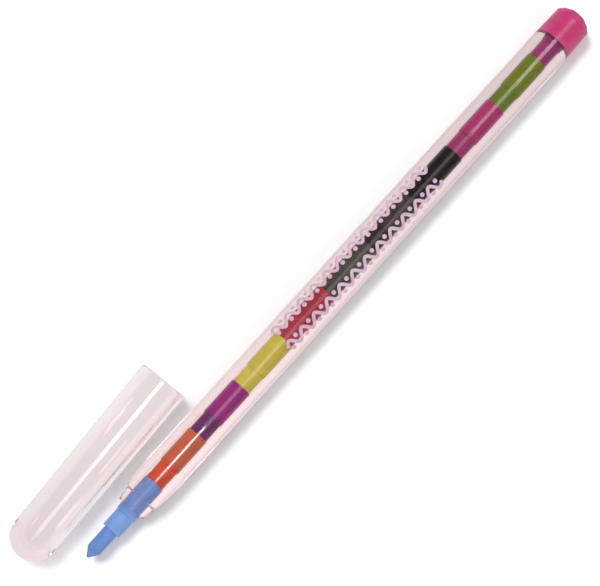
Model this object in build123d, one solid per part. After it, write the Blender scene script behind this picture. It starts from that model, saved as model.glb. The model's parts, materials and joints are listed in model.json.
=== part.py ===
from build123d import *
from math import atan2, cos, degrees, hypot, radians, sin
import os

# A stacking crayon, in millimetres. Short coloured cartridges stand nose to tail in a clear barrel.
# The worn one is pulled out of the nose and pushed in at the tail, which moves the stack on by one.
# The pen lies along X with its nose towards -X, and its cap lies beside it, both on the plane Z = 0.

# Cartridges, from the nose to the tail
COLOURS = ["blue", "orange", "violet", "yellow", "red", "dark_green"]
COLOURS += ["brown", "black", "magenta", "green", "purple"]

# Lead
LEAD_D = 3.1
LEAD_REACH = 7.15  # how far it stands out of its holder
LEAD_SEAT = 4.0  # how deep it is set in its holder
LEAD_CONE = 2.0  # length of the pointed end
LEAD_TIP_D = 0.4  # blunt end of the point
LEAD_GLUE = 0.02  # film of glue round the seated end, in radius

# Holder
HOLDER_D = 4.65
NECK_D = 4.25
NECK_LENGTH = 4.2
NECK_EDGE = 0.1  # chamfer on the neck's front edge
SHOULDER_LENGTH = 0.15  # short cone from the neck to the body
WEB = 1.4  # solid stretch between the lead's seat and the tail socket
SOCKET_PLAY = 0.15  # room round the next lead, in radius
SOCKET_TIP_GAP = 0.45  # room ahead of the next lead's point
SOCKET_LEAD_IN = 0.1  # chamfer at the socket's mouth
TAIL_EDGE = 0.25  # chamfer on the tail's outer edge

# Barrel
BARREL_D = 8.65
BORE_PLAY = 0.2  # room round the holders in the bore, in radius
MOUTH_PLAY = 0.05  # closer room in the mouth, where the front holder is gripped
MOUTH_LAND = 3.1  # length of the gripping stretch
MOUTH_D = 6.4  # outside of the nose at its mouth
MOUTH_EDGE = 0.2  # rounding of the mouth's outer edge
LAND_D = 7.25  # outside of the nose where the gripping stretch ends
NOSE_D = 7.75  # outside behind the small step there
NOSE_LENGTH = 10.2  # mouth to the full diameter
FRONT_REACH = 5.9  # how far the front holder stands out of the mouth
SPIGOT_D = 6.6  # reduced tail that the collar is pressed over
SPIGOT_LENGTH = 4.8

# Rear collar
COLLAR_LENGTH = 7.43
COLLAR_INSET = 0.12  # the collar's front edge lies this far below the barrel, in radius
COLLAR_END_D = 8.08  # outside at the end of the drafted skirt
COLLAR_EDGE = 0.6  # rounding of the skirt's end
COLLAR_STEP_D = 6.8  # outside at the foot of the domed end
COLLAR_STEP_LENGTH = 0.47  # steep chamfer between the skirt and the dome
COLLAR_DOME = 0.68  # height of the domed end
COLLAR_RIM = 0.12  # flat ring round the tail hole
COLLAR_FIT = 0.02  # room on the spigot, in radius
COLLAR_END_GAP = 0.05  # room behind the spigot
COLLAR_PLAY = 0.05  # room round the last holder, in radius
TAIL_PROUD = 0.2  # how far the last holder stands out of the collar

# Cap
CAP_LENGTH = 45.6
CAP_FIT = 0.08  # room between the mouth and the barrel, in radius
CAP_LIP_WALL = 0.945  # wall at the lip
CAP_DRAFT = 0.35  # narrowing of the outside from the lip to the round end, in radius
CAP_MOUTH_DEPTH = 8.0  # straight stretch that takes the barrel
CAP_STOP = 0.15  # step behind it that the barrel comes up against, in radius
CAP_THROAT_LENGTH = 8.5  # cone that narrows behind the step
CAP_WALL = 1.0  # wall past the throat
CAP_END_WALL = 2.0  # thickness at the closed end
CAP_LIP_EDGE = 0.6  # rounding of the lip's outer edge
CAP_LEAD_IN = 0.2  # chamfer inside the lip
CAP_LAY_X = 23.5  # mouth of the cap, back from the mouth of the barrel
CAP_LAY_GAP = 2.82  # clear gap between the lip and the barrel
CAP_LAY_ANGLE = 2.68  # turn away from the barrel, in degrees

# Worked out
LEAD_R = LEAD_D / 2
SOCKET_DEPTH = LEAD_REACH + SOCKET_TIP_GAP
HOLDER_LENGTH = LEAD_SEAT + WEB + SOCKET_DEPTH
HOLDER_R = HOLDER_D / 2
NECK_R = NECK_D / 2
SOCKET_R = LEAD_R + SOCKET_PLAY
BARREL_R = BARREL_D / 2
BORE_R = HOLDER_R + BORE_PLAY
MOUTH_BORE_R = HOLDER_R + MOUTH_PLAY
STACK_END = len(COLOURS) * HOLDER_LENGTH - FRONT_REACH
COLLAR_X = STACK_END - TAIL_PROUD - COLLAR_LENGTH
SPIGOT_R = SPIGOT_D / 2
COLLAR_HOLE_R = HOLDER_R + COLLAR_PLAY
CAP_BORE_R = BARREL_R + CAP_FIT
CAP_MOUTH_R = CAP_BORE_R + CAP_LIP_WALL
CAP_END_R = CAP_MOUTH_R - CAP_DRAFT
CAP_STRAIGHT = CAP_LENGTH - CAP_END_R  # lip to the start of the round end
CAP_TAPER = degrees(atan2(CAP_DRAFT, CAP_STRAIGHT))
QUARTER_TURN = 90


def turned(*outline):
    """Solid of revolution about X of a closed outline, given as curves in the XY plane."""
    return revolve(make_face(Curve() + list(outline)), Axis.X)


def rim(solid, x, radius):
    """The circular edge of a turned solid that lies nearest to x along the axis and to a radius."""
    circles = solid.edges().filter_by(GeomType.CIRCLE)
    return circles.sort_by(lambda edge: abs(edge.arc_center.X - x) + abs(edge.radius - radius))[0]


def dome_arc(start, end):
    """Arc from start to end of the circle through both that is centred on X."""
    (x1, r1), (x2, r2) = start, end
    centre = (x2**2 + r2**2 - x1**2 - r1**2) / (2 * (x2 - x1))
    radius = hypot(x1 - centre, r1)
    middle = (atan2(r1, x1 - centre) + atan2(r2, x2 - centre)) / 2
    return ThreePointArc(start, (centre + radius * cos(middle), radius * sin(middle)), end)


def make_lead():
    """Crayon lead, with x = 0 at the holder's front face."""
    return turned(
        Polyline(
            (-LEAD_REACH, 0),
            (-LEAD_REACH, LEAD_TIP_D / 2),
            (LEAD_CONE - LEAD_REACH, LEAD_R),
            (LEAD_SEAT, LEAD_R),
            (LEAD_SEAT, 0),
            close=True,
        )
    )


def make_holder():
    """Plastic holder: a neck that carries the lead, and a hollow tail for the point of the next one."""
    seat_r = LEAD_R + LEAD_GLUE
    socket_end = LEAD_SEAT + WEB
    holder = turned(
        Polyline(
            (0, seat_r),
            (0, NECK_R),
            (NECK_LENGTH, NECK_R),
            (NECK_LENGTH + SHOULDER_LENGTH, HOLDER_R),
            (HOLDER_LENGTH, HOLDER_R),
            (HOLDER_LENGTH, SOCKET_R),
            (socket_end + LEAD_CONE, SOCKET_R),
            (socket_end, LEAD_TIP_D / 2),
            (socket_end, 0),
            (LEAD_SEAT, 0),
            (LEAD_SEAT, seat_r),
            close=True,
        )
    )
    holder = chamfer(rim(holder, 0, NECK_R), NECK_EDGE)
    holder = chamfer(rim(holder, HOLDER_LENGTH, HOLDER_R), TAIL_EDGE)
    return chamfer(rim(holder, HOLDER_LENGTH, SOCKET_R), SOCKET_LEAD_IN)


def make_barrel():
    """Clear barrel, with x = 0 at its mouth: a stepped nose, a stepped bore and a spigot."""
    spigot_end = COLLAR_X + SPIGOT_LENGTH
    nose_foot = (NOSE_LENGTH, BARREL_R)
    nose_front = (MOUTH_LAND, NOSE_D / 2)
    barrel = turned(
        Polyline(
            nose_foot,
            (COLLAR_X, BARREL_R),
            (COLLAR_X, SPIGOT_R),
            (spigot_end, SPIGOT_R),
            (spigot_end, BORE_R),
            (MOUTH_LAND, BORE_R),
            (MOUTH_LAND, MOUTH_BORE_R),
            (0, MOUTH_BORE_R),
            (0, MOUTH_D / 2),
            (MOUTH_LAND, LAND_D / 2),
            nose_front,
        ),
        TangentArc(nose_foot, nose_front, tangent=(-1, 0)),
    )
    return fillet(rim(barrel, 0, MOUTH_D / 2), MOUTH_EDGE)


def make_collar():
    """Rear collar, with x = 0 at its front edge: a drafted skirt and a domed end with the tail hole."""
    bore_r = SPIGOT_R + COLLAR_FIT
    bore_end = SPIGOT_LENGTH + COLLAR_END_GAP
    skirt_end = COLLAR_LENGTH - COLLAR_DOME - COLLAR_STEP_LENGTH
    dome_foot = (COLLAR_LENGTH - COLLAR_DOME, COLLAR_STEP_D / 2)
    dome_top = (COLLAR_LENGTH, COLLAR_HOLE_R + COLLAR_RIM)
    collar = turned(
        Polyline(
            dome_top,
            (COLLAR_LENGTH, COLLAR_HOLE_R),
            (bore_end, COLLAR_HOLE_R),
            (bore_end, bore_r),
            (0, bore_r),
            (0, BARREL_R - COLLAR_INSET),
            (skirt_end, COLLAR_END_D / 2),
            dome_foot,
        ),
        dome_arc(dome_foot, dome_top),
    )
    return fillet(rim(collar, skirt_end, COLLAR_END_D / 2), COLLAR_EDGE)


def make_cap():
    """Clear cap, with x = 0 at its lip and its round end towards -X."""
    throat_end = CAP_MOUTH_DEPTH + CAP_THROAT_LENGTH
    throat_r = CAP_MOUTH_R - throat_end * CAP_DRAFT / CAP_STRAIGHT - CAP_WALL
    inner_end_r = CAP_END_R - CAP_WALL
    inner_end = CAP_LENGTH - CAP_END_WALL
    inner_straight = inner_end - inner_end_r
    cap = turned(
        CenterArc((-CAP_STRAIGHT, 0), CAP_END_R, QUARTER_TURN, QUARTER_TURN),
        Line((-CAP_LENGTH, 0), (-inner_end, 0)),
        CenterArc((-inner_straight, 0), inner_end_r, QUARTER_TURN, QUARTER_TURN),
        Polyline(
            (-inner_straight, inner_end_r),
            (-throat_end, throat_r),
            (-CAP_MOUTH_DEPTH, CAP_BORE_R - CAP_STOP),
            (-CAP_MOUTH_DEPTH, CAP_BORE_R),
            (0, CAP_BORE_R),
            (0, CAP_MOUTH_R),
            (-CAP_STRAIGHT, CAP_END_R),
        ),
    )
    cap = fillet(rim(cap, 0, CAP_MOUTH_R), CAP_LIP_EDGE)
    return chamfer(rim(cap, 0, CAP_BORE_R), CAP_LEAD_IN)


def assemble():
    """Every piece in place, by node name, with x = 0 at the mouth of the barrel."""
    on_table = Pos(0, 0, BARREL_R)
    pieces = {"barrel": on_table * make_barrel()}
    pieces["rear_collar"] = on_table * Pos(COLLAR_X, 0, 0) * make_collar()
    holder = make_holder()
    lead = make_lead()
    for place, colour in enumerate(COLOURS):
        at_place = on_table * Pos(place * HOLDER_LENGTH - FRONT_REACH, 0, 0)
        pieces[f"{colour}_holder"] = at_place * holder
        pieces[f"{colour}_lead"] = at_place * lead
    # The cap lies on its tapered side, so its axis dips towards the round end
    lip_height = CAP_MOUTH_R * cos(radians(CAP_TAPER))
    lip_centre = Pos(CAP_LAY_X, BARREL_R + CAP_LAY_GAP + CAP_MOUTH_R, lip_height)
    pieces["cap"] = lip_centre * Rot(0, 0, CAP_LAY_ANGLE) * Rot(0, -CAP_TAPER, 0) * make_cap()
    return pieces


def main():
    pieces = assemble()
    # The origin is on the table, under the middle of the whole set
    middle = Compound(list(pieces.values())).bounding_box().center()
    os.makedirs("parts", exist_ok=True)
    for name, piece in pieces.items():
        export_step(Pos(-middle.X, -middle.Y, 0) * piece, f"parts/{name}.step")
    print(f"mouth of the barrel at x {-middle.X:.4f}, axis of the pen at y {-middle.Y:.4f}")
    print(f"holder length {HOLDER_LENGTH:.3f}, stack end {STACK_END:.3f} past the mouth")


main()
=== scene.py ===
import json
import math
import bmesh
import bpy
from mathutils import Matrix, Vector


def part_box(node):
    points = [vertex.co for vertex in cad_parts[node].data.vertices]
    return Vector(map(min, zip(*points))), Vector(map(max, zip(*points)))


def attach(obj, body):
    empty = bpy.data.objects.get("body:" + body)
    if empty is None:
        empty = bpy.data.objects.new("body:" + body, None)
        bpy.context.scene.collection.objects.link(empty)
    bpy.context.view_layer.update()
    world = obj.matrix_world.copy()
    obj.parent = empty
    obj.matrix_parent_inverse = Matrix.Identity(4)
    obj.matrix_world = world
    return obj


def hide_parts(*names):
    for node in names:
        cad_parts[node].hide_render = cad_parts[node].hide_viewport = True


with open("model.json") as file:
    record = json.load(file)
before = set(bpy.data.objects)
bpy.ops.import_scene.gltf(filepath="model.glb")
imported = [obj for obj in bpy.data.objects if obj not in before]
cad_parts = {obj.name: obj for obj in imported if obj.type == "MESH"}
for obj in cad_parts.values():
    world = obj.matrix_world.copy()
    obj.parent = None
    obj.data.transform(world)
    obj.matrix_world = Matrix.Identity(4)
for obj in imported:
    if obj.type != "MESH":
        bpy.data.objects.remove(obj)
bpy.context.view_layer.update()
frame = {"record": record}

mm = 0.001  # the frame is in metres, sizes below are in millimetres
scene = bpy.context.scene
scene.view_settings.view_transform = "Standard"
lightBounces = 128  # light runs a long way along the clear walls
for kind in ("max", "glossy", "transmission"):
    setattr(scene.cycles, f"{kind}_bounces", lightBounces)

# The pen lies along X: its axis and the barrel's mouth come from the frame
barrelLow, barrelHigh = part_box("barrel")
mouth = Vector((barrelLow[0], (barrelLow[1] + barrelHigh[1]) / 2, (barrelLow[2] + barrelHigh[2]) / 2))
penPlace = Matrix.Translation(mouth)


def hexToLinear(code):
    channels = [int(code[i:i + 2], 16) / 255 for i in (1, 3, 5)]
    return tuple(c / 12.92 if c <= 0.04045 else ((c + 0.055) / 1.055) ** 2.4 for c in channels) + (1.0,)


def addNode(tree, kind, settings=None, sockets=None):
    node = tree.nodes.new(kind)
    for name, value in (settings or {}).items():
        setattr(node, name, value)
    for name, value in (sockets or {}).items():
        if isinstance(value, bpy.types.NodeSocket):
            tree.links.new(value, node.inputs[name])
        else:
            node.inputs[name].default_value = value
    return node


def newMaterial(name):
    material = bpy.data.materials.new(name)
    material.use_nodes = True
    material.node_tree.nodes.clear()
    return material, material.node_tree


def arc(centreX, centreR, radius, fromDeg, toDeg, steps):
    turns = [math.radians(fromDeg + (toDeg - fromDeg) * i / steps) for i in range(steps + 1)]
    return [(centreX + radius * math.cos(a), centreR + radius * math.sin(a)) for a in turns]


# Lathe: a run of which holdMm is less than holdShare gets a ring that far from each end, which keeps the shading
# of a rim at the rim; points within mergeMm are one, and a point within findMm of a rim belongs to it
latheWork = {"holdMm": 0.8, "holdShare": 0.3, "mergeMm": 1e-4, "findMm": 1e-3, "roundSteps": 4, "sharpDeg": 28}


def holdRuns(outline, closed):
    held = []
    for a, b in zip(outline, outline[1:] + outline[:1] if closed else outline[1:]):
        share = latheWork["holdMm"] / max(math.dist(a, b), latheWork["holdMm"])
        stops = (0, share, 1 - share) if share < latheWork["holdShare"] else (0,)
        held += [(a[0] + (b[0] - a[0]) * t, a[1] + (b[1] - a[1]) * t) for t in stops]
    return held if closed else held + outline[-1:]


def turnOnLathe(name, outline, place, steps, rounds=(), closed=False):
    # outline: (x, radius) points in mm; rounds: (x, radius, size) of the rims that are rounded
    bm = bmesh.new()
    points = [bm.verts.new((x * mm, r * mm, 0)) for x, r in holdRuns(outline, closed)]
    ends = points[1:] + points[:1] if closed else points[1:]
    edges = [bm.edges.new(pair) for pair in zip(points, ends)]
    bmesh.ops.spin(bm, geom=points + edges, cent=(0, 0, 0), axis=(1, 0, 0), angle=2 * math.pi,
                   steps=steps, use_merge=True)
    bmesh.ops.remove_doubles(bm, verts=bm.verts, dist=latheWork["mergeMm"] * mm)
    bmesh.ops.recalc_face_normals(bm, faces=bm.faces)
    for x, r, size in rounds:
        onRim = {v for v in bm.verts
                 if math.hypot(v.co.x / mm - x, math.hypot(v.co.y, v.co.z) / mm - r) < latheWork["findMm"]}
        rim = [e for e in bm.edges if onRim.issuperset(e.verts)]
        bmesh.ops.bevel(bm, geom=rim, offset=size * mm, offset_type="OFFSET", affect="EDGES",
                        segments=latheWork["roundSteps"], profile=0.5, material=-1)
    for face in bm.faces:
        face.smooth = True
    for edge in bm.edges:
        edge.smooth = edge.calc_face_angle(0) < math.radians(latheWork["sharpDeg"])
    bmesh.ops.transform(bm, matrix=place, verts=bm.verts)
    return addPiece(name, bm)


def addPiece(name, bm):
    mesh = bpy.data.meshes.new(name)
    bm.to_mesh(mesh)
    bm.free()
    piece = bpy.data.objects.new(name, mesh)
    scene.collection.objects.link(piece)
    return piece


def finishPiece(piece, material, body, slot, *nodes):
    piece.data.materials.append(material)
    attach(piece, body)
    if nodes:
        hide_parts(*nodes)


# Clear polystyrene, injection moulded and polished: glassy, faintly pink at each face, and raspberry where
# the eye looks a long way through the dye; shadow and inside are the share of lamp light that passes each
# face, on its way to the table and to what stands in the wall
clearLook = {"skin": "#FFF3F2", "dye": "#FFBCD0", "density": 39.0, "ior": 1.5, "roughness": 0.01,
             "dullest": 0.03, "flowMm": 6.0, "flowDetail": 2.0, "shadow": 0.28, "inside": 0.97}


def clearPolystyrene(name, look):
    material, tree = newMaterial(name)
    coords = addNode(tree, "ShaderNodeTexCoord")
    flow = addNode(tree, "ShaderNodeTexNoise", {},
                   {"Vector": coords.outputs["Object"], "Scale": 1 / (look["flowMm"] * mm),
                    "Detail": look["flowDetail"]})
    gloss = addNode(tree, "ShaderNodeMapRange", {},
                    {"Value": flow.outputs["Fac"], "To Min": look["roughness"], "To Max": look["dullest"]})
    body = addNode(tree, "ShaderNodeBsdfPrincipled", {},
                   {"Base Color": hexToLinear(look["skin"]), "Roughness": gloss.outputs["Result"],
                    "IOR": look["ior"], "Transmission Weight": 1.0})
    # lamps reach what stands inside, and the clear wall still casts a soft shadow on the table
    path = addNode(tree, "ShaderNodeLightPath")
    share = addNode(tree, "ShaderNodeMapRange", {}, {"Value": path.outputs["Transmission Depth"],
                                                     "To Min": look["shadow"], "To Max": look["inside"]})
    letLight = addNode(tree, "ShaderNodeBsdfTransparent", {}, {"Color": share.outputs["Result"]})
    mixed = addNode(tree, "ShaderNodeMixShader", {},
                    {"Fac": path.outputs["Is Shadow Ray"], 1: body.outputs["BSDF"],
                     2: letLight.outputs["BSDF"]})
    dye = addNode(tree, "ShaderNodeVolumeAbsorption", {},
                  {"Color": hexToLinear(look["dye"]), "Density": look["density"]})
    addNode(tree, "ShaderNodeOutputMaterial", {},
            {"Surface": mixed.outputs["Shader"], "Volume": dye.outputs["Volume"]})
    return material


# Barrel: a stepped bore, a nose that narrows in one long curve to a step, and a spigot under the collar
barrelSizes = {"radius": 4.325, "bore": 2.525, "mouthBore": 2.375, "mouthLand": 3.1, "mouthRadius": 3.2,
               "landRadius": 3.625, "noseRadius": 3.875, "nose": 10.2, "shoulder": 129.47, "spigot": 3.3,
               "spigotEnd": 134.27, "mouthRound": 0.1, "boreRound": 0.06, "rimRun": 3.0, "groove": 0.12,
               "seat": 0.25, "seatRadius": 4.205, "seatLap": 0.02, "bead": 2.75, "beadLength": 0.6,
               "beadRun": 0.2, "noseSteps": 16, "steps": 192}


def makeBarrel(s):
    # the nose curve is tangent to the barrel where the nose ends
    run = s["nose"] - s["mouthLand"]
    drop = s["radius"] - s["noseRadius"]
    bend = (run ** 2 + drop ** 2) / (2 * drop)
    sweep = math.degrees(math.asin(run / bend))
    rim = s["shoulder"] + s["seatLap"]  # pressed on the collar's hollow front, with no film of air between
    seat = rim + s["seat"]
    bead = seat + s["beadLength"]
    cut = s["mouthLand"] - s["groove"]
    outline = [(0, s["mouthRadius"]), (cut, s["landRadius"]),
               ((cut + s["mouthLand"]) / 2, s["landRadius"] - s["groove"])]
    outline += arc(s["nose"], s["radius"] - bend, bend, 90 + sweep, 90, s["noseSteps"])
    outline += [(rim - s["rimRun"], s["radius"]), (rim, s["seatRadius"]), (seat, s["bead"]), (bead, s["bead"]),
                (bead + s["beadRun"], s["spigot"]), (s["spigotEnd"], s["spigot"]),
                (s["spigotEnd"], s["bore"]), (s["mouthLand"], s["bore"]), (s["mouthLand"], s["mouthBore"]),
                (0, s["mouthBore"])]
    rounds = [(0, s["mouthRadius"], s["mouthRound"]), (0, s["mouthBore"], s["boreRound"]),
              (s["mouthLand"], s["noseRadius"], s["boreRound"])]
    return turnOnLathe("barrelShell", outline, penPlace, s["steps"], rounds, closed=True)


clearPink = clearPolystyrene("clear pink polystyrene", clearLook)
finishPiece(makeBarrel(barrelSizes), clearPink, "barrel", "clear_pink_plastic", "barrel")
print("barrel turned")

# Cap: its lip and axis come from the mount at its mouth
capSizes = {"length": 45.59, "lip": 5.35, "end": 5.0, "bore": 4.405, "mouthDepth": 8.0, "stop": 0.15,
            "leadIn": 0.2, "throat": 8.5, "wall": 1.0, "endWall": 2.0, "lipRound": 0.6, "innerSteps": 24,
            "outerSteps": 28, "steps": 192}


def makeCap(s):
    mount = next(m for m in frame["record"]["mounts"] if m["name"] == "cap_bore")
    along = Vector(mount["axis"]).normalized()
    side = Vector((0, 0, 1)).cross(along).normalized()
    lip = Vector(mount["pos_m"]) + along * (s["mouthDepth"] + s["leadIn"]) / 2 * mm
    place = Matrix.Translation(lip) @ Matrix((along, side, along.cross(side))).transposed().to_4x4()
    straight = s["length"] - s["end"]
    throatEnd = s["mouthDepth"] + s["throat"]
    throatRadius = s["lip"] - throatEnd * (s["lip"] - s["end"]) / straight - s["wall"]
    innerRadius = s["end"] - s["wall"]
    innerStart = s["length"] - s["endWall"] - innerRadius
    # one run from the round end of the cavity, out round the lip and back to the round end outside
    outline = arc(-innerStart, 0, innerRadius, 180, 90, s["innerSteps"])
    outline += [(-throatEnd, throatRadius), (-s["mouthDepth"], s["bore"] - s["stop"]),
                (-s["mouthDepth"], s["bore"]), (0, s["bore"]), (0, s["lip"])]
    outline += arc(-straight, 0, s["end"], 90, 180, s["outerSteps"])
    rounds = [(0, s["lip"], s["lipRound"]), (0, s["bore"], s["leadIn"])]
    return turnOnLathe("capShell", outline, place, s["steps"], rounds)


# The same plastic with nothing in it: a lighter shadow, and less tint at a face, because four faces lie one
# behind the other
capLook = dict(clearLook, skin="#FFFBFA", density=44.0, shadow=0.66)
emptyPink = clearPolystyrene("clear pink polystyrene, empty", capLook)
finishPiece(makeCap(capSizes), emptyPink, "cap", "clear_pink_plastic", "cap")
print("cap turned")

# Rear collar: a drafted skirt with a rounded end, a steep step to a small ledge, a dome round the tail hole,
# and a bead inside its front edge that snaps into the groove at the foot of the spigot
collarSizes = {"skirtEnd": 4.04, "skirt": 6.28, "ledge": 6.5, "ledgeRadius": 3.42, "domeFoot": 6.7, "end": 7.18,
               "hole": 2.375, "rim": 0.12, "bore": 3.32, "boreDepth": 4.85, "skirtRound": 0.29, "domeSteps": 10,
               "steps": 144}
# Polypropylene, moulded with a fine satin grain: soft broad shine, pigment faintly clouded
collarLook = {"colour": "#BF386F", "pale": "#C24074", "fadeMm": 2.0, "cloudMm": 3.0, "grainMm": 0.18,
              "roughness": 0.28, "spread": 0.06, "grainHighMm": 0.002}


def makeCollar(s):
    topRadius = s["hole"] + s["rim"]
    rise, drop = s["end"] - s["domeFoot"], s["ledgeRadius"] - topRadius
    outline = [(0, barrelSizes["seatRadius"]), (s["skirt"], s["skirtEnd"]), (s["ledge"], s["ledgeRadius"])]
    outline += [(s["domeFoot"] + rise * along, topRadius + drop * out)
                for out, along in arc(0, 0, 1, 0, 90, s["domeSteps"])]  # a quarter round, drawn out to the dome
    outline += [(s["end"], s["hole"]), (s["boreDepth"], s["hole"]), (s["boreDepth"], s["bore"])]
    play = s["bore"] - barrelSizes["spigot"]
    beadEnd = barrelSizes["seat"] + barrelSizes["beadLength"]
    outline += [(beadEnd + barrelSizes["beadRun"], s["bore"]), (beadEnd, barrelSizes["bead"] + play),
                (barrelSizes["seat"], barrelSizes["bead"] + play)]
    rounds = [(s["skirt"], s["skirtEnd"], s["skirtRound"])]
    place = penPlace @ Matrix.Translation((barrelSizes["shoulder"] * mm, 0, 0))
    return turnOnLathe("tailCollar", outline, place, s["steps"], rounds, closed=True)


# What all moulded pieces share: how the pigment clouds the tone, and the shine of a waxy plastic; their grain is
# drawn coarser than it is, so that it shows
mouldedLook = {"cloudDetail": 3.0, "cloudFrom": 0.3, "cloudTo": 0.7, "darkest": 0.9, "lightest": 1.1,
               "grainDetail": 2.0, "ior": 1.49}


def mouldedPlastic(name, stops, look, startX):
    # stops: two colours, mixed along X over fadeMm from startX, clouded by the pigment
    look = dict(mouldedLook, **look)
    material, tree = newMaterial(name)
    coords = addNode(tree, "ShaderNodeTexCoord")
    parts = addNode(tree, "ShaderNodeSeparateXYZ", {}, {"Vector": coords.outputs["Object"]})
    along = addNode(tree, "ShaderNodeMapRange", {"interpolation_type": "SMOOTHSTEP"},
                    {"Value": parts.outputs["X"], "From Min": startX, "From Max": startX + look["fadeMm"] * mm})
    ramp = addNode(tree, "ShaderNodeValToRGB", {}, {"Fac": along.outputs["Result"]})
    for element, code in zip(ramp.color_ramp.elements, stops):
        element.color = hexToLinear(code)
    cloud = addNode(tree, "ShaderNodeTexNoise", {},
                    {"Vector": coords.outputs["Object"], "Scale": 1 / (look["cloudMm"] * mm),
                     "Detail": look["cloudDetail"]})
    level = addNode(tree, "ShaderNodeMapRange", {},
                    {"Value": cloud.outputs["Fac"], "From Min": look["cloudFrom"], "From Max": look["cloudTo"],
                     "To Min": look["darkest"], "To Max": look["lightest"]})
    tone = addNode(tree, "ShaderNodeHueSaturation", {},
                   {"Color": ramp.outputs["Color"], "Value": level.outputs["Result"]})
    grain = addNode(tree, "ShaderNodeTexNoise", {},
                    {"Vector": coords.outputs["Object"], "Scale": 1 / (look["grainMm"] * mm),
                     "Detail": look["grainDetail"]})
    gloss = addNode(tree, "ShaderNodeMapRange", {},
                    {"Value": grain.outputs["Fac"], "To Min": look["roughness"] - look["spread"],
                     "To Max": look["roughness"] + look["spread"]})
    bump = addNode(tree, "ShaderNodeBump", {},
                   {"Height": grain.outputs["Fac"], "Distance": look["grainHighMm"] * mm})
    body = addNode(tree, "ShaderNodeBsdfPrincipled", {},
                   {"Base Color": tone.outputs["Color"], "Roughness": gloss.outputs["Result"],
                    "IOR": look["ior"], "Normal": bump.outputs["Normal"]})
    addNode(tree, "ShaderNodeOutputMaterial", {}, {"Surface": body.outputs["BSDF"]})
    return material


collarPlastic = mouldedPlastic("pink polypropylene", (collarLook["pale"], collarLook["colour"]), collarLook,
                               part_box("rear_collar")[0][0])
finishPiece(makeCollar(collarSizes), collarPlastic, "barrel", "pink_plastic", "rear_collar")
print("collar turned")

# Cartridges: a holder with a neck and a hollow tail, and a wax lead glued in the neck
holderSizes = {"length": 13.0, "radius": 2.325, "neck": 2.125, "neckLength": 4.2, "shoulder": 0.15,
               "seat": 1.57, "seatDepth": 4.0, "web": 1.4, "socket": 1.70, "cone": 2.0, "tip": 0.2,
               "neckRound": 0.1, "tailRound": 0.25, "leadIn": 0.1, "steps": 96}
leadSizes = {"radius": 1.55, "reach": 7.15, "seat": 4.0, "cone": 2.0, "tip": 0.2, "tipRound": 0.12, "edge": 0.1,
             "steps": 72}
# neck: the wax shows through it; body: the next lead darkens it; wax: the lead itself
cartridgeColours = {
    "blue": {"neck": "#779AD3", "body": "#6A8CC5", "wax": "#688BCA"},
    "orange": {"neck": "#BE4D2F", "body": "#B35F40", "wax": "#D0552E"},
    "violet": {"neck": "#5F2C60", "body": "#872376", "wax": "#5A2A66"},
    "yellow": {"neck": "#B5B548", "body": "#B5B246", "wax": "#D2BC3C"},
    "red": {"neck": "#9A3746", "body": "#932C3A", "wax": "#B02434"},
    "dark_green": {"neck": "#3F433C", "body": "#3D433B", "wax": "#23352A"},
    "brown": {"neck": "#282323", "body": "#363231", "wax": "#3C2620"},
    "black": {"neck": "#050505", "body": "#050505", "wax": "#161416"},
    "magenta": {"neck": "#8A3163", "body": "#942D66", "wax": "#A02468"},
    "green": {"neck": "#5A751E", "body": "#607616", "wax": "#5C7A20"},
    "purple": {"neck": "#86306B", "body": "#86306B", "wax": "#6A2468"},
}
# Polypropylene again, thin enough to take the tone of the wax behind it; wax crayon: matt and faintly mottled
holderLook = {"fadeMm": 1.4, "cloudMm": 2.2, "grainMm": 0.16, "roughness": 0.5, "spread": 0.06,
              "grainHighMm": 0.001}
waxLook = {"fadeMm": 1.0, "cloudMm": 0.9, "grainMm": 0.12, "roughness": 0.6, "spread": 0.08,
           "grainHighMm": 0.003}


def makeHolder(name, s, place):
    socketEnd = s["seatDepth"] + s["web"]
    outline = [(s["seatDepth"], 0), (s["seatDepth"], s["seat"]), (0, s["seat"]), (0, s["neck"]),
               (s["neckLength"], s["neck"]), (s["neckLength"] + s["shoulder"], s["radius"]),
               (s["length"], s["radius"]), (s["length"], s["socket"]), (socketEnd + s["cone"], s["socket"]),
               (socketEnd, s["tip"]), (socketEnd, 0)]
    rounds = [(0, s["neck"], s["neckRound"]), (s["length"], s["radius"], s["tailRound"]),
              (s["length"], s["socket"], s["leadIn"])]
    return turnOnLathe(name, outline, place, s["steps"], rounds)


def makeLead(name, s, place):
    outline = [(-s["reach"], 0), (-s["reach"], s["tip"]), (s["cone"] - s["reach"], s["radius"]),
               (s["seat"], s["radius"]), (s["seat"], 0)]
    rounds = [(-s["reach"], s["tip"], s["tipRound"]), (s["cone"] - s["reach"], s["radius"], s["edge"])]
    return turnOnLathe(name, outline, place, s["steps"], rounds)


for colour, codes in cartridgeColours.items():
    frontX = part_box(f"{colour}_holder")[0][0]
    place = Matrix.Translation((frontX, mouth.y, mouth.z))
    body = f"{colour}_cartridge"
    plastic = mouldedPlastic(f"{colour} polypropylene", (codes["neck"], codes["body"]), holderLook,
                             frontX + holderSizes["neckLength"] * mm)
    holder = makeHolder(f"{colour}Holder", holderSizes, place)
    finishPiece(holder, plastic, body, f"{colour}_plastic", f"{colour}_holder")
    wax = mouldedPlastic(f"{colour} wax", (codes["wax"], codes["wax"]), waxLook, frontX)
    lead = makeLead(f"{colour}Lead", leadSizes, place)
    finishPiece(lead, wax, body, f"{colour}_wax", f"{colour}_lead")
print("cartridges turned")

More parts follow.
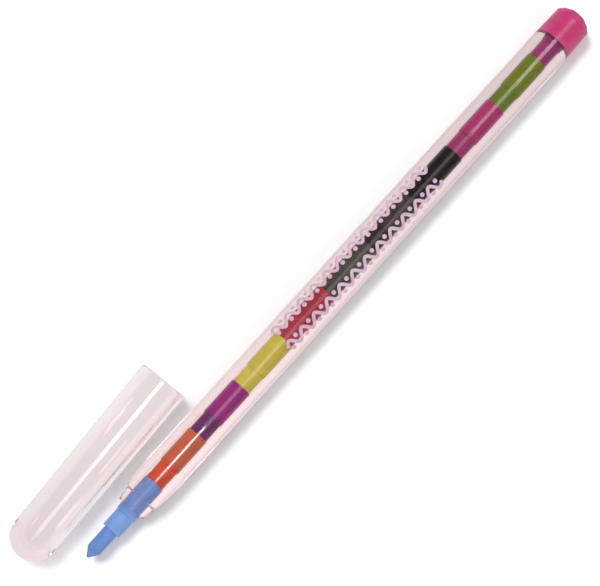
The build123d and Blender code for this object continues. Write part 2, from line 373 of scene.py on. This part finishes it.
# Printed band: two rows of a running wave with dots, in thin matt ink along the upper side of the barrel
printSizes = {"fromX": 45.2, "toX": 91.6, "rows": (35.0, -24.5), "waves": 12, "swing": 1.0, "stroke": 0.72,
              "dot": 0.48, "dotOff": 0.85, "film": 0.025, "sunk": 0.01, "steps": 24, "acrossSteps": 2,
              "dotSteps": 20}
# Pad printing ink: matt and opaque, a little uneven in cover
inkLook = {"colour": "#CCAABD", "pale": "#D0B2C3", "fadeMm": 100.0, "cloudMm": 1.2, "grainMm": 0.15,
           "roughness": 0.65, "spread": 0.05, "grainHighMm": 0.002}


def makePrint(s, barrel):
    bm = bmesh.new()
    length = s["toX"] - s["fromX"]
    pace = length / s["waves"]
    for rowDeg in s["rows"]:
        middle = math.radians(rowDeg) * barrel["radius"]
        grid = bmesh.ops.create_grid(bm, x_segments=s["waves"] * s["steps"], y_segments=s["acrossSteps"],
                                     size=0.5)
        for v in grid["verts"]:
            along = (v.co.x + 0.5) * length
            phase = 2 * math.pi * along / pace
            lean = math.atan(s["swing"] * 2 * math.pi / pace * math.cos(phase))
            off = v.co.y * s["stroke"]
            v.co = (s["fromX"] + along - off * math.sin(lean), middle + s["swing"] * math.sin(phase)
                    + off * math.cos(lean), -s["sunk"])
        for i in range(2 * s["waves"]):  # a dot in each hollow of the wave
            side = -1 if i % 2 == 0 else 1
            spot = (s["fromX"] + (i + 0.5) * pace / 2, middle + side * s["dotOff"], -s["sunk"])
            bmesh.ops.create_circle(bm, cap_ends=True, segments=s["dotSteps"], radius=s["dot"],
                                    matrix=Matrix.Translation(spot))
    bmesh.ops.poke(bm, faces=[f for f in bm.faces if len(f.verts) > 4])  # each dot becomes a fan
    raised = bmesh.ops.extrude_face_region(bm, geom=bm.faces[:], use_keep_orig=True)["geom"]
    bmesh.ops.translate(bm, vec=(0, 0, s["film"] + s["sunk"]),
                        verts=[g for g in raised if isinstance(g, bmesh.types.BMVert)])
    for v in bm.verts:  # the flat print is wrapped round the barrel
        x, around, high = v.co
        turn = around / barrel["radius"]
        reach = barrel["radius"] + high
        v.co = Vector((x, reach * math.sin(turn), reach * math.cos(turn))) * mm
    bmesh.ops.recalc_face_normals(bm, faces=bm.faces)
    bmesh.ops.transform(bm, matrix=penPlace, verts=bm.verts)
    return addPiece("printedWaves", bm)


ink = mouldedPlastic("pale lilac printing ink", (inkLook["colour"], inkLook["pale"]), inkLook, mouth.x)
waves = makePrint(printSizes, barrelSizes)
waves.visible_shadow = False  # so thin that it hardly shades what stands inside
finishPiece(waves, ink, "barrel", "pink_plastic")
print("print laid on")

# Camera: nearly overhead, leaning a little towards the nose, with the pen rising to the right
cameraView = {"distance": 520.0, "lean": 6.157, "roll": 47.763, "aim": (55.458, 4.001, 0.0), "lens": 152.917,
              "sensor": 36.0, "near": 10.0}


def addCamera(v):
    aim = mouth + Vector(v["aim"]) * mm
    lean = math.radians(v["lean"])
    back = Vector((-math.sin(lean), 0, math.cos(lean)))
    penWay = (Vector((1, 0, 0)) - back * back.x).normalized()
    across = back.cross(penWay)
    roll = math.radians(v["roll"])
    right = penWay * math.cos(roll) - across * math.sin(roll)
    up = penWay * math.sin(roll) + across * math.cos(roll)
    camera = bpy.data.objects.new("camera", bpy.data.cameras.new("camera"))
    camera.data.lens = v["lens"]
    camera.data.sensor_width = v["sensor"]
    camera.data.clip_start = v["near"] * mm
    scene.collection.objects.link(camera)
    turn = Matrix((right, up, back)).transposed().to_4x4()
    camera.matrix_world = Matrix.Translation(aim + back * v["distance"] * mm) @ turn
    scene.camera = camera


addCamera(cameraView)
print("camera placed")

# White table under soft light: an even sky with a dim ceiling, a soft key from the cap's side, and lamps
# overhead and at the sides that draw the thin bright lines along the clear plastic
# the side, end and cap fades below paint shade on the table where it is seen in the plastic
stageLook = {"floor": "#FFFFFF", "floorSize": 3000.0, "glowSeen": 0.04, "glowThrough": 0.92,
             "sideY": (-14.0, 0.0), "sidePaintedShade": 0.9, "endX": (-45.0, 60.0), "endPaintedShade": 0.78,
             "capX": (-45.0, -80.0), "capPaintedShade": 0.9, "sky": 0.13, "inner": 0.7,
             "ceiling": 0.04, "ceilingThrough": 0.18, "ceilingFrom": 0.05, "ceilingTo": 0.5}
keyLamp = {"level": 0.64, "elevation": 64.0, "azimuth": 90.0, "softness": 20.0, "shadow": True}
fillLamp = {"level": 0.22, "elevation": 40.0, "azimuth": -90.0, "softness": 60.0, "shadow": False}
stripLamps = {"height": 640.0, "width": 240.0,  # a row of panels over the pen: from X, to X, radiance
              "panels": ((-60.0, 104.0, 1.2), (104.0, 232.0, 0.65), (232.0, 264.0, 2.0), (264.0, 312.0, 3.0),
                         (312.0, 400.0, 5.0))}
capLamp = {"radiance": 1.7, "height": 650.0, "fromX": -17.0, "toX": 24.0, "width": 170.0}
noseLamp = {"radiance": 10.5, "height": 650.0, "fromX": 24.0, "toX": 50.0, "width": 125.0}
sideLamp = {"radiance": 5.0, "height": 600.0, "fromX": -20.0, "toX": -3.0, "width": 70.0,
            "sides": (59.0, -60.0)}


def readRays(tree):
    # straight from the camera, through or off something shiny, dull surfaces met before, clear faces passed
    path = addNode(tree, "ShaderNodeLightPath")
    shiny = addNode(tree, "ShaderNodeMath", {"operation": "MAXIMUM"},
                    {0: path.outputs["Is Glossy Ray"], 1: path.outputs["Is Transmission Ray"]})
    return (path.outputs["Is Camera Ray"], shiny.outputs["Value"], path.outputs["Diffuse Depth"],
            path.outputs["Transmission Depth"])


def addSky(s):
    world = bpy.data.worlds.new("sky")
    scene.world = world
    world.use_nodes = True
    tree = world.node_tree
    tree.nodes.clear()
    direct, shiny, dulled, passed = readRays(tree)
    coords = addNode(tree, "ShaderNodeTexCoord")
    parts = addNode(tree, "ShaderNodeSeparateXYZ", {}, {"Vector": coords.outputs["Generated"]})
    overhead = addNode(tree, "ShaderNodeMapRange", {},
                       {"Value": passed, "To Min": s["ceiling"], "To Max": s["ceilingThrough"]})
    room = addNode(tree, "ShaderNodeMapRange", {"interpolation_type": "SMOOTHSTEP"},
                   {"Value": parts.outputs["Z"], "From Min": s["ceilingFrom"], "From Max": s["ceilingTo"],
                    "To Min": 1.0, "To Max": overhead.outputs["Result"]})
    inPlastic = addNode(tree, "ShaderNodeMapRange", {},
                        {"Value": dulled, "To Min": room.outputs["Result"], "To Max": s["inner"]})
    plain = addNode(tree, "ShaderNodeMapRange", {}, {"Value": direct, "To Min": s["sky"], "To Max": 1.0})
    strength = addNode(tree, "ShaderNodeMapRange", {}, {"Value": shiny, "To Min": plain.outputs["Result"],
                                                        "To Max": inPlastic.outputs["Result"]})
    sky = addNode(tree, "ShaderNodeBackground", {}, {"Strength": strength.outputs["Result"]})
    addNode(tree, "ShaderNodeOutputWorld", {}, {"Surface": sky.outputs["Background"]})


def addFloor(s):
    bm = bmesh.new()
    bmesh.ops.create_grid(bm, x_segments=1, y_segments=1, size=s["floorSize"] / 2 * mm)
    floor = addPiece("floor", bm)
    material, tree = newMaterial("white table")
    direct, shiny, dulled, _ = readRays(tree)
    seen = addNode(tree, "ShaderNodeMapRange", {}, {"Value": direct, "To Min": 0.0, "To Max": s["glowSeen"]})
    through = addNode(tree, "ShaderNodeMapRange", {},
                      {"Value": dulled, "To Min": s["glowThrough"], "To Max": 0.0})
    share = addNode(tree, "ShaderNodeMapRange", {},
                    {"Value": shiny, "To Min": seen.outputs["Result"], "To Max": through.outputs["Result"]})
    table = addNode(tree, "ShaderNodeBsdfDiffuse", {}, {"Color": hexToLinear(s["floor"])})
    # painted shade: the table, as seen in the plastic, glows dimmer towards the tail, the cap's side and the
    # cap's round end, in place of the shade that falls there
    coords = addNode(tree, "ShaderNodeTexCoord")
    parts = addNode(tree, "ShaderNodeSeparateXYZ", {}, {"Vector": coords.outputs["Object"]})
    across = addNode(tree, "ShaderNodeMapRange", {},
                     {"Value": parts.outputs["Y"], "From Min": s["sideY"][0] * mm,
                      "From Max": s["sideY"][1] * mm, "To Min": 1.0, "To Max": s["sidePaintedShade"]})
    along = addNode(tree, "ShaderNodeMapRange", {},
                    {"Value": parts.outputs["X"], "From Min": s["endX"][0] * mm, "From Max": s["endX"][1] * mm,
                     "To Min": 1.0, "To Max": s["endPaintedShade"]})
    ahead = addNode(tree, "ShaderNodeMapRange", {},
                    {"Value": parts.outputs["X"], "From Min": s["capX"][0] * mm, "From Max": s["capX"][1] * mm,
                     "To Min": along.outputs["Result"], "To Max": s["capPaintedShade"]})
    paintedShade = addNode(tree, "ShaderNodeMath", {"operation": "MULTIPLY"},
                   {0: across.outputs["Result"], 1: ahead.outputs["Result"]})
    level = addNode(tree, "ShaderNodeMapRange", {},
                    {"Value": direct, "To Min": paintedShade.outputs["Value"], "To Max": 1.0})
    glow = addNode(tree, "ShaderNodeEmission", {},
                   {"Color": hexToLinear(s["floor"]), "Strength": level.outputs["Result"]})
    mixed = addNode(tree, "ShaderNodeMixShader", {},
                    {"Fac": share.outputs["Result"], 1: table.outputs["BSDF"], 2: glow.outputs["Emission"]})
    addNode(tree, "ShaderNodeOutputMaterial", {}, {"Surface": mixed.outputs["Shader"]})
    floor.data.materials.append(material)


def addSun(name, k):
    lamp = bpy.data.lights.new(name, "SUN")
    lamp.angle = math.radians(k["softness"])
    lamp.use_shadow = k["shadow"]
    elevation = math.radians(k["elevation"])
    lamp.energy = k["level"] * math.pi / math.sin(elevation)
    azimuth = math.radians(k["azimuth"])
    toLamp = Vector((math.cos(azimuth) * math.cos(elevation), math.sin(azimuth) * math.cos(elevation),
                     math.sin(elevation)))
    sun = bpy.data.objects.new(name, lamp)
    sun.rotation_euler = toLamp.to_track_quat("Z", "Y").to_euler()
    sun.visible_glossy = False  # it shades the forms and draws no highlight
    sun.visible_transmission = False  # its light comes in through the clear wall as a plain lamp ray only
    scene.collection.objects.link(sun)


def addLamp(name, p, side=0.0):
    # side: degrees from overhead towards the cap
    lamp = bpy.data.lights.new(name, "AREA")
    lamp.shape = "RECTANGLE"
    lamp.size = (p["toX"] - p["fromX"]) * mm
    lamp.size_y = p["width"] * mm
    lamp.energy = p["radiance"] * math.pi * lamp.size * lamp.size_y
    turn = Matrix.Rotation(math.radians(-side), 3, "X")
    panel = bpy.data.objects.new(name, lamp)
    panel.location = mouth + (turn @ Vector(((p["fromX"] + p["toX"]) / 2, 0, p["height"]))) * mm
    panel.rotation_euler = turn.to_euler()
    panel.visible_camera = False
    scene.collection.objects.link(panel)


addSky(stageLook)
addFloor(stageLook)
addSun("key", keyLamp)
addSun("fill", fillLamp)
for fromX, toX, radiance in stripLamps["panels"]:
    addLamp("strip", dict(stripLamps, fromX=fromX, toX=toX, radiance=radiance))
addLamp("capLight", capLamp)
addLamp("noseLight", noseLamp)
for side in sideLamp["sides"]:
    addLamp("sideLight", sideLamp, side)
print("stage lit")
